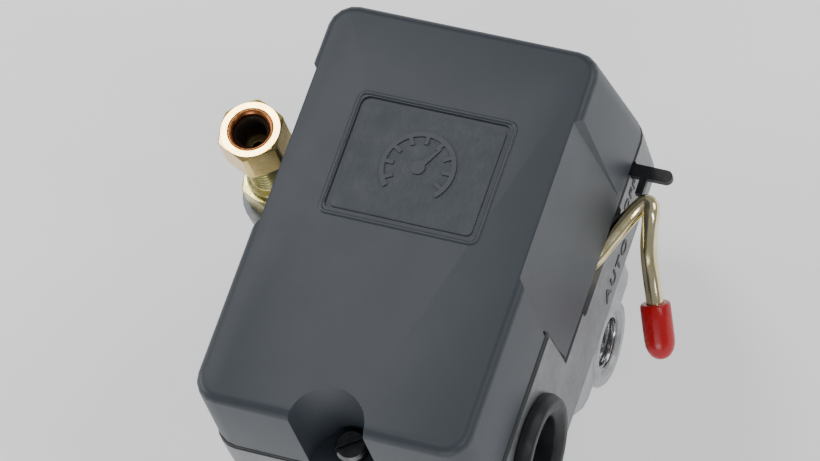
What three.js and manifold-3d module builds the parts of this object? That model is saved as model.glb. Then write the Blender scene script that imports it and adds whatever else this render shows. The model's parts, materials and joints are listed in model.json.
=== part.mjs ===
// Air compressor pressure switch: four port, with unloader valve and an auto / off lever.
// Millimetres. +Z is up and points out of the cover. The middle of the tank port's
// face is the origin; X runs left to right and Y from the cable end to the back.
import * as THREE from 'three';
import { mergeVertices } from 'three/addons/utils/BufferGeometryUtils.js';
import Module from 'manifold-3d';

const wasm = await Module();
wasm.setup();

// ---------- driving dimensions ----------
const COVER_W = 58, COVER_L = 90;      // cover's top face
const HEIGHT = 82;                     // tank port face to cover top
const RIM_SIDE = 1, RIM_BACK = 6.5;    // how far the drafted walls lean out at the rim
const CORNER = 5.5, TOP_FILLET = 1.8;
const COVER_WALL = 2.2;
const RIM_FRONT_Z = 60, RIM_BACK_Z = 43.2;
const STEP_Y = -6.6;                   // where the rim steps down
const RIM_GAP = 1.7;                   // shadow gap between cover and housing
const HOUSING_W = 60, HOUSING_Y0 = -45.5, HOUSING_Y1 = 51.5;
const HOUSING_Z0 = 25, FLOOR_Z = 28, HOUSING_WALL = 3.8;
const PORT_Y = 11;                     // tank port's place along the cover
const PORT_Z = 16, PORT_X = 30;        // side ports
const THREAD_R = 6.3, THREAD_END_R = 5.6, SINK_R = 7.1, BOSS_R = 9.7;
const FLANGE_X = 29.6, FLANGE_Y = 19.5, FLANGE_Z0 = 17.2, FLANGE_Z = 24.85;
const DIAPHRAGM_R = 20.6, DIAPHRAGM_T = 1.5;
const SCREW_PITCH = 16.5;              // manifold screws, each way from the port
const GROMMET_Y = -26.5, GROMMET_Z = 43.5, GROMMET_BORE = 8.1;
const WELL_Y = -44.5, WELL_R = 7.9, WELL_FLOOR = 61;
const COVER_SCREW_Y = -40.8;
const ROCKER_PIN_Y = 40, ROCKER_PIN_Z = 32.2;
const ROCKER_Z = 31, ROCKER_T = 2.4;
const SPRING_Y = -2.5;                   // range spring and its stud
const DIFF_Y = 27;                     // differential spring and its stud
const BLOCK_Y0 = -36, BLOCK_Y1 = -19, BLOCK_Z = 38;
const TERMINAL_X = [-15, -5, 5, 15];
const EARTH_X = -21, EARTH_Y = 3.5;     // earth screw
const CARRIER_PIN_Y = -13, CARRIER_PIN_Z = 46;
const LEVER_X = 20, LEVER_Y = 8;     // lever pivot
const WIRE_R = 1.8, WIRE_Z = 41.1;
const SLOT_Z = 39.2, SLOT_Y0 = 6, SLOT_Y1 = 31;   // notch in the wall's upper edge
const TAB_Y = 40, TAB_W = 2.8, TAB_Z0 = 39.5, TAB_Z1 = 41.1;
const BRACKET_Z = 37.5, BRACKET_T = 1.6;
const VALVE_X = -42.1, VALVE_Y = 19.1;
const LUG_Z0 = 35, LUG_Z1 = 38.2;

// ---------- colours ----------
const BLACK_PLASTIC = [0x2b2f34, 0.5, 0];
const CAST_GREY = [0x9a9da0, 0.5, 0.75];
const CAST_LIGHT = [0xb9bcbe, 0.45, 0.8];
const BLACK_RUBBER = [0x14181a, 0.65, 0];
const STEEL = [0xb4b6b8, 0.3, 1];
const BLACK_STEEL = [0x1d1e20, 0.45, 0.6];
const GOLD_STEEL = [0xc9a648, 0.3, 1];
const BRASS = [0xd9b75c, 0.25, 1];
const COPPER = [0xb5652a, 0.35, 1];
const SILVER = [0xd9dadb, 0.25, 1];
const RED_VINYL = [0xb5121b, 0.4, 0];
const PHENOLIC = [0x2a211c, 0.55, 0];

const group = new THREE.Group();
group.name = 'pressure_switch';

// ---------- solids ----------
function solid(geometry) {
  const g = geometry.clone();
  g.deleteAttribute('normal');
  g.deleteAttribute('uv');
  g.clearGroups();
  const m = mergeVertices(g, 1e-4);
  let tri = Uint32Array.from(m.index.array);
  const p = m.attributes.position.array;
  if (volume(p, tri) < 0) {
    for (let i = 0; i < tri.length; i += 3) [tri[i], tri[i + 1]] = [tri[i + 1], tri[i]];
  }
  return new wasm.Manifold(new wasm.Mesh({
    numProp: 3, vertProperties: Float32Array.from(p), triVerts: tri,
  }));
}

function volume(p, tri) {
  let v = 0;
  for (let i = 0; i < tri.length; i += 3) {
    const [a, b, c] = [tri[i] * 3, tri[i + 1] * 3, tri[i + 2] * 3];
    v += p[a] * (p[b + 1] * p[c + 2] - p[b + 2] * p[c + 1])
       - p[a + 1] * (p[b] * p[c + 2] - p[b + 2] * p[c])
       + p[a + 2] * (p[b] * p[c + 1] - p[b + 1] * p[c]);
  }
  return v;
}

function box(x0, x1, y0, y1, z0, z1) {
  const g = new THREE.BoxGeometry(x1 - x0, y1 - y0, z1 - z0);
  return solid(g.translate((x0 + x1) / 2, (y0 + y1) / 2, (z0 + z1) / 2));
}

// turned solid about Z from closed profile points [radius, z]
function turned(profile, segments = 24) {
  const points = [...profile, profile[0]].map(([r, z]) => new THREE.Vector2(r, z));
  const g = new THREE.LatheGeometry(points, segments);
  return solid(g.rotateX(Math.PI / 2));
}

function disc(r, z0, z1, segments = 24) {
  const g = new THREE.CylinderGeometry(r, r, z1 - z0, segments);
  return solid(g.rotateX(Math.PI / 2).translate(0, 0, (z0 + z1) / 2));
}

function ring(inner, outer, z0, z1, segments = 24) {
  return disc(outer, z0, z1, segments).subtract(disc(inner, z0 - 1, z1 + 1, segments));
}

// straight prism along Z from plan points
function prism(points, z0, z1) {
  const shape = new THREE.Shape(points.map(([x, y]) => new THREE.Vector2(x, y)));
  const g = new THREE.ExtrudeGeometry(shape, { depth: z1 - z0, bevelEnabled: false });
  return solid(g.translate(0, 0, z0));
}

// prism along X from [y, z] points, or along Y from [x, z] points
function prismX(points, x0, x1) {
  return prism(points, x0, x1).rotate([90, 0, 90]);
}

function prismY(points, y0, y1) {
  return prism(points, -y1, -y0).rotate([90, 0, 0]);
}

function alongX(s) { return s.rotate([0, 90, 0]); }      // +Z becomes +X
function alongY(s) { return s.rotate([-90, 0, 0]); }     // +Z becomes +Y

function roundRect(x0, x1, y0, y1, r, steps = 5) {
  const points = [];
  const corners = [[x1 - r, y1 - r, 0], [x0 + r, y1 - r, 1], [x0 + r, y0 + r, 2], [x1 - r, y0 + r, 3]];
  for (const [cx, cy, q] of corners) {
    for (let i = 0; i <= steps; i++) {
      const a = (q + i / steps) * Math.PI / 2;
      points.push([cx + r * Math.cos(a), cy + r * Math.sin(a)]);
    }
  }
  return points;
}

function hexagon(acrossFlats, turn = 0) {
  const r = acrossFlats / Math.sqrt(3);
  return [0, 1, 2, 3, 4, 5].map((i) => {
    const a = (i * 60 + turn) * Math.PI / 180;
    return [r * Math.cos(a), r * Math.sin(a)];
  });
}

// hexagon with both rims turned off at 30 degrees
function hexBar(acrossFlats, z0, z1, turn = 0, bothEnds = true) {
  const corner = acrossFlats / Math.sqrt(3), face = acrossFlats / 2 - 0.1;
  const drop = (corner + 0.3 - face) * Math.tan(Math.PI / 6);
  const low = bothEnds ? [[face, z0], [corner + 0.3, z0 + drop]] : [[corner + 0.3, z0]];
  const limit = turned([[0, z0], ...low, [corner + 0.3, z1 - drop], [face, z1], [0, z1]], 24);
  return prism(hexagon(acrossFlats, turn), z0, z1).intersect(limit);
}

// round bar following a curve
function sweep(curve, radius, steps, sides = 8) {
  const shape = new THREE.Shape();
  for (let i = 0; i < sides; i++) {
    const a = (i / sides) * Math.PI * 2;
    const [x, y] = [radius * Math.cos(a), radius * Math.sin(a)];
    if (i === 0) shape.moveTo(x, y); else shape.lineTo(x, y);
  }
  shape.closePath();
  return solid(new THREE.ExtrudeGeometry(shape, { steps, extrudePath: curve, bevelEnabled: false }));
}

class Helix extends THREE.Curve {
  constructor(radius, z0, z1, turns) {
    super();
    Object.assign(this, { radius, z0, z1, turns });
  }

  // end turns lie nearly flat, the turns between share the height
  getPoint(t, target = new THREE.Vector3()) {
    const n = t * this.turns, flat = 0.8, free = this.turns - 2 * flat;
    const rise = Math.min(Math.max((n - flat) / free, 0), 1);
    const a = n * Math.PI * 2;
    return target.set(this.radius * Math.cos(a), this.radius * Math.sin(a),
      this.z0 + (this.z1 - this.z0) * (0.04 * n / this.turns + 0.96 * rise));
  }

  // steps by angle, so that every turn is divided alike
  getUtoTmapping(u) { return u; }
}

function coil(x, y, radius, wire, z0, z1, turns) {
  const curve = new Helix(radius, z0 + wire, z1 - wire, turns);
  return sweep(curve, wire, Math.round(turns * 9), 5).translate([x, y, 0]);
}

function piece(name, s, [color, roughness, metalness]) {
  const mesh = s.simplify(0.004).getMesh();
  const g = new THREE.BufferGeometry();
  g.setAttribute('position', new THREE.BufferAttribute(Float32Array.from(mesh.vertProperties), 3));
  g.setIndex(Array.from(mesh.triVerts));
  const flat = g.toNonIndexed();
  flat.computeVertexNormals();
  flat.translate(0, -PORT_Y, 0);
  const material = new THREE.MeshStandardMaterial({ color, roughness, metalness });
  const m = new THREE.Mesh(flat, material);
  m.name = name;
  group.add(m);
}

// ---------- moulded cover ----------
// rounded block whose walls lean out below the top face; grow moves every wall outwards
function coverBlock(grow, top) {
  const f = grow < 0 ? 1 : TOP_FILLET;
  const r = Math.max(CORNER + grow, 1.5);
  const hx = COVER_W / 2 + grow, hy = COVER_L / 2 + grow;
  const plan = roundRect(-hx + f, hx - f, -hy + f, hy - f, r - Math.min(f, r - 0.6), 4);
  const shape = new THREE.Shape(plan.map(([x, y]) => new THREE.Vector2(x, y)));
  const g = new THREE.ExtrudeGeometry(shape, {
    depth: 50, bevelEnabled: true, bevelThickness: f, bevelSize: f, bevelSegments: 4,
  });
  g.translate(0, 0, top - f - 50);
  const p = g.attributes.position;
  const fall = HEIGHT - RIM_BACK_Z;
  for (let i = 0; i < p.count; i++) {
    const down = (HEIGHT - p.getZ(i)) / fall;
    const lean = p.getY(i) > 0 ? RIM_BACK : 0.5;
    p.setX(i, p.getX(i) * (1 + RIM_SIDE * down / (COVER_W / 2)));
    p.setY(i, p.getY(i) * (1 + lean * down / (COVER_L / 2)));
  }
  return solid(g);
}

// everything above the stepped rim line, lowered by drop
function aboveRim(drop, margin = 70) {
  return prismX([[-margin, RIM_FRONT_Z - drop], [STEP_Y - drop * 0.3, RIM_FRONT_Z - drop],
    [STEP_Y + 1.7 - drop * 0.3, RIM_BACK_Z - drop], [margin, RIM_BACK_Z - drop],
    [margin, 120], [-margin, 120]], -margin, margin);
}

// gauge dial emblem: raised ring, needle and hub
function emblem(z0, z1) {
  const y = 12.7;
  let e = ring(6.9, 7.9, z0, z1, 40).subtract(prism([[0, 0], [-9, -9], [9, -9]], z0 - 1, z1 + 1));
  for (const a of [-30, 0, 30, 60, 90, 120, 150, 180, 210]) {
    e = e.add(box(5.2, 6.95, -0.4, 0.4, z0, z1).rotate([0, 0, a]));
  }
  e = e.add(disc(1.5, z0, z1, 16)).add(prism([[-0.7, 0], [0.7, 0], [0.12, 6], [-0.12, 6]], z0, z1)
    .rotate([0, 0, -35]));
  return e.translate([0, y, 0]);
}

function cover() {
  let hollow = coverBlock(-COVER_WALL, HEIGHT - 2.6);
  for (const x of [-40, 25.7]) hollow = hollow.subtract(box(x, x + 14.3, -9, 33, 63, 90));
  let s = coverBlock(0, HEIGHT).subtract(hollow);
  // grip recess on both sides, deepest at the top and flush at the rim
  const depth = 1.35, x = COVER_W / 2;
  for (const side of [1, -1]) {
    const wedge = prismY([[x - depth, 90], [x - depth, HEIGHT], [x + RIM_SIDE + 0.02, RIM_BACK_Z],
      [x + 5, RIM_BACK_Z], [x + 5, 90]], -20, 40);
    const plan = prism([[x + 4, -12], [x + 4, 35], [x - depth - 1, 30.6 - depth - 1],
      [x - depth - 1, -6.7 + depth + 1]], 30, 90);
    const cut = wedge.intersect(plan);
    s = s.subtract(side > 0 ? cut : cut.mirror([1, 0, 0]));
  }
  // framed emblem field on the top face
  const outer = prism(roundRect(-16.1, 16.1, -0.2, 25.7, 1.8, 4), HEIGHT - 0.5, HEIGHT + 1);
  const inner = prism(roundRect(-15.2, 15.2, 0.7, 24.8, 1.2, 4), HEIGHT - 2, HEIGHT - 0.1);
  s = s.subtract(outer.subtract(inner)).subtract(
    prism(roundRect(-15.2, 15.2, 0.7, 24.8, 1.2, 4), HEIGHT - 0.3, HEIGHT + 1));
  s = s.add(emblem(HEIGHT - 0.5, HEIGHT + 0.02));
  // screw well, open to the front
  const well = disc(WELL_R + 2, WELL_FLOOR - 2.2, HEIGHT, 40).translate([0, WELL_Y, 0])
    .intersect(coverBlock(0, HEIGHT));
  const mouth = disc(WELL_R, WELL_FLOOR, 90, 40).add(
    box(-WELL_R, WELL_R, -12, 0, WELL_FLOOR, 90)).translate([0, WELL_Y, 0]);
  s = s.add(well).subtract(mouth).subtract(disc(2.2, 50, 70, 20).translate([0, COVER_SCREW_Y, 0]));
  return s.intersect(aboveRim(0));
}

piece('cover', cover(), BLACK_PLASTIC);

piece('cover_screw', turned([[0, 48], [1.7, 48], [1.9, 48.4], [1.9, WELL_FLOOR + 0.1],
  [3.4, WELL_FLOOR + 0.1], [3.4, WELL_FLOOR + 1.9], [2.9, WELL_FLOOR + 2.7], [0, WELL_FLOOR + 2.7]], 28)
  .subtract(box(-4, 4, -0.45, 0.45, WELL_FLOOR + 1.5, WELL_FLOOR + 4).rotate([0, 0, 35]))
  .translate([0, COVER_SCREW_Y, 0]), STEEL);

// ---------- die cast base housing ----------
function housing() {
  const x = HOUSING_W / 2, w = HOUSING_WALL;
  let s = prism(roundRect(-x, x, HOUSING_Y0, HOUSING_Y1, CORNER), HOUSING_Z0, RIM_FRONT_Z);
  s = s.subtract(prism(roundRect(-x + w, x - w, HOUSING_Y0 + w, HOUSING_Y1 - w, 3), FLOOR_Z, 90));
  s = s.subtract(aboveRim(RIM_GAP));
  // lip that stands up inside the cover
  const lip = prism(roundRect(-x + 3.05, x - 3.05, HOUSING_Y0 + 3.2, HOUSING_Y1 - 2.9, 3.4), 30, 70)
    .subtract(prism(roundRect(-x + w, x - w, HOUSING_Y0 + w + 0.5, HOUSING_Y1 - w, 3), 29, 71))
    .subtract(aboveRim(-1.2)).intersect(aboveRim(RIM_GAP + 2))
    .subtract(box(-10.6, 10.6, -60, -30, 50, 70));
  s = s.add(lip);
  // floor bosses: diaphragm dome and the screws' pads
  s = s.add(disc(16, FLOOR_Z - 1, 29.6, 28).translate([0, PORT_Y, 0]));
  for (const i of [-1, 1]) for (const j of [-1, 1]) {
    s = s.add(disc(3.6, FLOOR_Z - 1, 30.2, 16)
      .translate([i * SCREW_PITCH, PORT_Y + j * SCREW_PITCH, 0]));
  }
  s = s.add(disc(4.7, FLOOR_Z - 1, 30.1, 20).translate([0, SPRING_Y, 0]));
  s = s.subtract(disc(10, 20, 27.6, 24).translate([0, PORT_Y, 0]));
  s = s.subtract(disc(6.2, 20, 35, 20).translate([0, PORT_Y, 0]));
  for (const i of [-1, 1]) for (const j of [-1, 1]) {
    s = s.subtract(disc(2.1, 20, 29.2, 12)
      .translate([i * SCREW_PITCH, PORT_Y + j * SCREW_PITCH, 0]));
  }
  // cheeks that carry the rocker's hinge pin
  for (const i of [-1, 1]) {
    const cheek = prismX([[35.5, FLOOR_Z - 1], [44, FLOOR_Z - 1], [44, 33.2], [42, 36], [38, 36],
      [35.5, 33]], 13.6, 16.6);
    s = s.add(i > 0 ? cheek : cheek.mirror([1, 0, 0]));
  }
  s = s.subtract(alongX(disc(1.6, -25, 25, 16)).translate([0, ROCKER_PIN_Y, ROCKER_PIN_Z]));
  // post for the cover screw
  s = s.add(box(-4.3, 4.3, HOUSING_Y0 + 1, COVER_SCREW_Y, FLOOR_Z - 1, 58.2));
  s = s.add(disc(4.3, FLOOR_Z - 1, 58.2, 24).translate([0, COVER_SCREW_Y, 0]));
  s = s.subtract(disc(2, 44, 70, 16).translate([0, COVER_SCREW_Y, 0]));
  // stud holes, lever pin hole and earth screw hole
  s = s.subtract(disc(2.5, 20, 35, 20).translate([0, SPRING_Y, 0]));
  s = s.subtract(disc(2, 20, 35, 20).translate([0, DIFF_Y, 0]));
  s = s.subtract(disc(2.05, 26, 35, 20).translate([LEVER_X, LEVER_Y, 0]));
  s = s.subtract(disc(1.75, 26, 35, 16).translate([EARTH_X, EARTH_Y, 0]));
  // notches in the right wall's upper edge for the lever wire and the bracket's tab
  s = s.subtract(prismX([[SLOT_Y0, 50], [SLOT_Y0, SLOT_Z + 1], [SLOT_Y0 + 1, SLOT_Z], [SLOT_Y1 - 1, SLOT_Z],
    [SLOT_Y1, SLOT_Z + 1], [SLOT_Y1, 50]], 22, 35));
  s = s.subtract(box(22, 35, TAB_Y - TAB_W / 2 - 0.3, TAB_Y + TAB_W / 2 + 0.3, TAB_Z0 - 0.2, 50));
  // unloader arm slot in the left wall and the valve's lug above it
  s = s.subtract(box(-35, -20, 14.6, 23.6, FLOOR_Z, 33.4));
  let lug = prism([[-28, 10.5], [VALVE_X, VALVE_Y - 8.6], [VALVE_X, VALVE_Y + 8.6], [-28, 28.5]],
    LUG_Z0, LUG_Z1).add(disc(8.6, LUG_Z0, LUG_Z1, 32).translate([VALVE_X, VALVE_Y, 0]));
  for (const y of [11.2, 25]) {
    lug = lug.add(prismY([[-29, LUG_Z0 + 0.5], [-36, LUG_Z0 + 0.5], [-29, FLOOR_Z - 1]], y, y + 2.2));
  }
  s = s.add(lug.subtract(box(-25.9, 0, 0, 40, 20, 60)));
  s = s.subtract(disc(5.1, 30, 45, 24).translate([VALVE_X, VALVE_Y, 0]));
  // cable entries
  for (const x of [-35, 20]) {
    s = s.subtract(alongX(disc(10.2, x, x + 15, 28)).translate([0, GROMMET_Y, GROMMET_Z]));
  }
  return s;
}

piece('base_housing', housing(), CAST_GREY);

// ---------- port manifold ----------
// tapered thread bore with countersink, opening at z = 0 and running down
function portBore(depth) {
  return turned([[0, -depth - 1.5], [4, -depth - 1.5], [4, -depth], [THREAD_END_R, -depth],
    [THREAD_R, -1.1], [SINK_R, -0.05], [SINK_R, 1], [0, 1]], 24);
}

function manifold() {
  const plan = roundRect(-FLANGE_X, FLANGE_X, PORT_Y - FLANGE_Y, PORT_Y + FLANGE_Y, 6, 4);
  let s = prism(plan, FLANGE_Z0, FLANGE_Z);
  s = s.add(turned([[0, 4.6], [15, 4.6], [17, 8], [18, 19], [0, 19]], 28).translate([0, PORT_Y, 0]));
  s = s.add(prism(hexagon(24, 0), 0, 6).translate([0, PORT_Y, 0]));
  const boss = turned([[0, 0], [BOSS_R, 0], [BOSS_R, PORT_X - 0.8], [BOSS_R - 0.8, PORT_X], [0, PORT_X]], 28);
  s = s.add(alongX(boss).translate([0, PORT_Y, PORT_Z]));
  s = s.add(alongX(boss).mirror([1, 0, 0]).translate([0, PORT_Y, PORT_Z]));
  const front = turned([[0, 0], [BOSS_R, 0], [BOSS_R, 24.2], [BOSS_R - 0.8, 25], [0, 25]], 28);
  s = s.add(alongY(front).mirror([0, 1, 0]).translate([0, PORT_Y, PORT_Z]));
  s = s.intersect(box(-40, 40, -60, 60, -1, FLANGE_Z));
  // the diaphragm's seat and the chamber under it
  s = s.subtract(disc(DIAPHRAGM_R, FLANGE_Z - DIAPHRAGM_T - 0.1, 30, 32).translate([0, PORT_Y, 0]));
  s = s.subtract(disc(10.5, 20.6, 30, 24).translate([0, PORT_Y, 0]));
  s = s.subtract(disc(4, 10, 30, 12).translate([0, PORT_Y, 0]));
  s = s.subtract(portBore(11).rotate([180, 0, 0]).translate([0, PORT_Y, 0]));
  s = s.subtract(alongX(portBore(12)).translate([PORT_X, PORT_Y, PORT_Z]));
  s = s.subtract(alongX(portBore(12)).mirror([1, 0, 0]).translate([-PORT_X, PORT_Y, PORT_Z]));
  s = s.subtract(alongY(portBore(12)).mirror([0, 1, 0]).translate([0, PORT_Y - 25, PORT_Z]));
  s = s.subtract(alongX(disc(4, -18, 18, 12)).translate([0, PORT_Y, PORT_Z]));
  s = s.subtract(alongY(disc(4, -14, 0, 12)).translate([0, PORT_Y, PORT_Z]));
  for (const i of [-1, 1]) for (const j of [-1, 1]) {
    s = s.subtract(disc(2.3, 0, 30, 12).add(disc(4.4, 0, 18.6, 16))
      .translate([i * SCREW_PITCH, PORT_Y + j * SCREW_PITCH, 0]));
  }
  return s;
}

piece('port_manifold', manifold(), CAST_LIGHT);

piece('diaphragm', disc(DIAPHRAGM_R - 0.2, FLANGE_Z - DIAPHRAGM_T, FLANGE_Z + 0.05, 32)
  .translate([0, PORT_Y, 0]), BLACK_RUBBER);

piece('piston', turned([[0, 25.05], [9.6, 25.05], [9.6, 26], [5.8, 26.2], [5.8, 30],
  [5.2, 30.5], [3, 30.72], [0, 30.8]], 24).translate([0, PORT_Y, 0]), STEEL);

[[-1, -1], [1, -1], [1, 1], [-1, 1]].forEach(([i, j], n) => {
  const screw = turned([[0, 15.4], [3.4, 15.4], [3.9, 15.9], [3.9, 18.5], [2, 18.5], [2, 28.8],
    [0, 28.8]], 16);
  const socket = prism(hexagon(3.2), 14, 17.2);
  piece(`manifold_screw_${n + 1}`, screw.subtract(socket)
    .translate([i * SCREW_PITCH, PORT_Y + j * SCREW_PITCH, 0]), STEEL);
});

// ---------- pressure rocker with its unloader arm ----------
function rocker() {
  const z = ROCKER_Z, t = ROCKER_T;
  let s = prism([[-12, -15], [12, -15], [13, -12], [13, 40], [-13, 40], [-13, -12]], z, z + t);
  for (const i of [-1, 1]) {
    const rail = box(11, 13, 6, 37, z, z + 7);
    s = s.add(i > 0 ? rail : rail.mirror([1, 0, 0]));
  }
  s = s.add(alongX(disc(3.1, -13, 13, 20)).translate([0, ROCKER_PIN_Y, ROCKER_PIN_Z]));
  // arm steps down and passes out through the left wall
  s = s.add(box(-19.4, -12, 16.1, 22.1, z, z + t)).add(box(-19.4, -17, 16.1, 22.1, 28.4, z + t));
  s = s.add(box(VALVE_X, -17, 16.1, 22.1, 28.4, 30.4));
  s = s.add(disc(3, 28.4, 30.4, 20).translate([VALVE_X, VALVE_Y, 0]));
  s = s.subtract(alongX(disc(1.7, -20, 20, 16)).translate([0, ROCKER_PIN_Y, ROCKER_PIN_Z]));
  s = s.subtract(disc(3.2, 25, 45, 20).translate([0, SPRING_Y, 0]));
  s = s.subtract(disc(2.7, 25, 45, 20).translate([0, DIFF_Y, 0]));
  return s;
}

piece('rocker', rocker(), BLACK_STEEL);
piece('rocker_pin', alongX(turned([[0, -17.2], [1.2, -17.2], [1.5, -16.9], [1.5, 16.9], [1.2, 17.2],
  [0, 17.2]], 16)).translate([0, ROCKER_PIN_Y, ROCKER_PIN_Z]), STEEL);

// ---------- range and differential springs ----------
function stud(r, foot, top) {
  return turned([[0, 26], [foot - 0.4, 26], [foot, 26.4], [foot, 28.2], [r, 28.2], [r, top - 0.6],
    [r - 0.6, top], [0, top]], 20);
}

piece('range_stud', stud(2.4, 2.4, 74).subtract(box(-4, 4, -0.4, 0.4, 72.8, 80))
  .translate([0, SPRING_Y, 0]), STEEL);
piece('range_spring', coil(0, SPRING_Y, 5.4, 1.1, 33.5, 61.2, 6.5), STEEL);
piece('range_spring_plate', turned([[2.7, 61.3], [7.2, 61.3], [7.2, 62.3], [4.6, 63.2], [2.7, 63.2]], 28)
  .translate([0, SPRING_Y, 0]), STEEL);
piece('range_nut', hexBar(10, 63.3, 68.3).subtract(disc(2.5, 60, 70, 20))
  .translate([0, SPRING_Y, 0]), GOLD_STEEL);

piece('differential_stud', stud(1.9, 1.9, 57).subtract(box(-4, 4, -0.35, 0.35, 56.1, 60))
  .translate([0, DIFF_Y, 0]), STEEL);
piece('differential_spring', coil(0, DIFF_Y, 4.2, 0.8, 33.5, 48.4, 6), STEEL);
piece('differential_spring_plate', turned([[2.1, 48.5], [5.6, 48.5], [5.6, 49.4], [3.6, 49.9], [2.1, 49.9]], 24)
  .translate([0, DIFF_Y, 0]), STEEL);
piece('differential_nut', hexBar(7, 50, 53.2).subtract(disc(2, 45, 60, 16))
  .translate([0, DIFF_Y, 0]), GOLD_STEEL);

// ---------- terminal block and contacts ----------
function terminalBlock() {
  let s = box(-20.5, 20.5, BLOCK_Y0, BLOCK_Y1, FLOOR_Z + 0.1, BLOCK_Z);
  for (const x of [-20, -10, 0, 10, 20]) {
    s = s.add(box(x - 0.7, x + 0.7, BLOCK_Y0, -24.4, BLOCK_Z - 1, 43.4));
  }
  for (const i of [-1, 1]) {
    const cheek = prismX([[BLOCK_Y1 - 6, FLOOR_Z + 0.1], [-7, FLOOR_Z + 0.1], [-7, 36], [-9.5, 49],
      [-14.5, 49], [-17, 40], [BLOCK_Y1 - 6, 38]], 20.4, 23.2);
    s = s.add(i > 0 ? cheek : cheek.mirror([1, 0, 0]));
  }
  for (const x of TERMINAL_X) {
    s = s.subtract(disc(1.75, 31.5, 50, 16).translate([x, -30, 0]));
  }
  s = s.subtract(alongX(disc(1.6, -30, 30, 16)).translate([0, CARRIER_PIN_Y, CARRIER_PIN_Z]));
  return s;
}

piece('terminal_block', terminalBlock(), PHENOLIC);

TERMINAL_X.forEach((x, n) => {
  const plate = box(x - 4, x + 4, BLOCK_Y0 + 0.4, -19.4, BLOCK_Z + 0.05, BLOCK_Z + 1.05)
    .add(turned([[0, BLOCK_Z + 0.5], [2.3, BLOCK_Z + 0.5], [2.3, BLOCK_Z + 1.5], [1.6, BLOCK_Z + 2],
      [0, BLOCK_Z + 2]], 16)
      .translate([x, -21.8, 0]))
    .subtract(disc(1.75, 35, 45, 16).translate([x, -30, 0]));
  piece(`terminal_plate_${n + 1}`, plate, BRASS);
  const z = BLOCK_Z + 1.15;
  piece(`terminal_screw_${n + 1}`, turned([[0, 32], [1.6, 32], [1.6, z], [3.4, z], [3.4, z + 1.4],
    [2.8, z + 2.1], [0, z + 2.1]], 16)
    .subtract(box(-4, 4, -0.4, 0.4, z + 1.1, z + 4).rotate([0, 0, 20 + n * 37]))
    .translate([x, -30, 0]), STEEL);
});

function carrier() {
  let s = box(-19.6, 19.6, -24, -10.2, 43.2, 47.6);
  s = s.add(alongX(disc(3, -19.6, 19.6, 20)).translate([0, CARRIER_PIN_Y, CARRIER_PIN_Z]));
  s = s.subtract(alongX(disc(1.6, -30, 30, 16)).translate([0, CARRIER_PIN_Y, CARRIER_PIN_Z]));
  return s;
}

piece('contact_carrier', carrier(), PHENOLIC);
piece('carrier_pin', alongX(turned([[0, -23.6], [1.2, -23.6], [1.5, -23.3], [1.5, 23.3], [1.2, 23.6],
  [0, 23.6]], 16)).translate([0, CARRIER_PIN_Y, CARRIER_PIN_Z]), STEEL);

[-10, 10].forEach((x, n) => {
  let s = box(x - 7.6, x + 7.6, -23.6, -20, 42.1, 43.1);
  for (const dx of [-5, 5]) {
    s = s.add(turned([[0, 40.3], [1.5, 40.3], [2.2, 40.9], [2.2, 42.5], [0, 42.5]], 16)
      .translate([x + dx, -21.8, 0]));
  }
  piece(`contact_bridge_${n + 1}`, s, COPPER);
});

piece('toggle_spring', coil(0, -12.4, 2.4, 0.5, 33.5, 42.8, 4.5), STEEL);

// ---------- earth screw ----------
piece('earth_screw', turned([[0, 26.2], [1.6, 26.2], [1.6, 28.1], [4.2, 28.1], [4.2, 28.8], [3.2, 28.8],
  [3.2, 30.4], [2.6, 31], [0, 31]], 20)
  .subtract(box(-4, 4, -0.4, 0.4, 30, 33)).translate([EARTH_X, EARTH_Y, 0]), BRASS);

// ---------- auto / off lever ----------
piece('lever_spacer', ring(2.15, 4, FLOOR_Z + 0.1, BRACKET_Z - 0.1, 24)
  .translate([LEVER_X, LEVER_Y, 0]), STEEL);

function leverBracket() {
  const z0 = BRACKET_Z, z1 = BRACKET_Z + BRACKET_T;
  const y0 = TAB_Y - TAB_W / 2, y1 = TAB_Y + TAB_W / 2;
  let s = disc(4, z0, z1, 24).translate([LEVER_X, LEVER_Y, 0]);
  s = s.add(prism([[19.6, LEVER_Y], [25.4, LEVER_Y], [25.4, y1], [22, y1], [22, 34], [19.6, 28]], z0, z1));
  // raised tab that shows outside the wall, with the finger that stops the lever
  s = s.add(box(22, 25.4, y0, y1, z0, TAB_Z1)).add(box(23.6, 37.1, y0, y1, TAB_Z0, TAB_Z1));
  s = s.add(disc(TAB_W / 2, TAB_Z0, TAB_Z1, 20).translate([37.1, TAB_Y, 0]));
  s = s.add(box(31.9, 33.5, 34.9, y0 + 0.2, TAB_Z0, TAB_Z1));
  return s.subtract(disc(2.15, 30, 45, 20).translate([LEVER_X, LEVER_Y, 0]));
}

piece('lever_bracket', leverBracket(), BLACK_STEEL);
piece('lever_pivot_pin', turned([[0, 26.2], [2, 26.2], [2, 43.1], [3.6, 43.1], [3.6, 43.8], [2.8, 44.4],
  [0, 44.4]], 24).translate([LEVER_X, LEVER_Y, 0]), STEEL);

const TIP_START = new THREE.Vector3(40.4, 16.4, 30.2);
const TIP_END = new THREE.Vector3(43.4, 7.8, 22.4);

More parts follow.
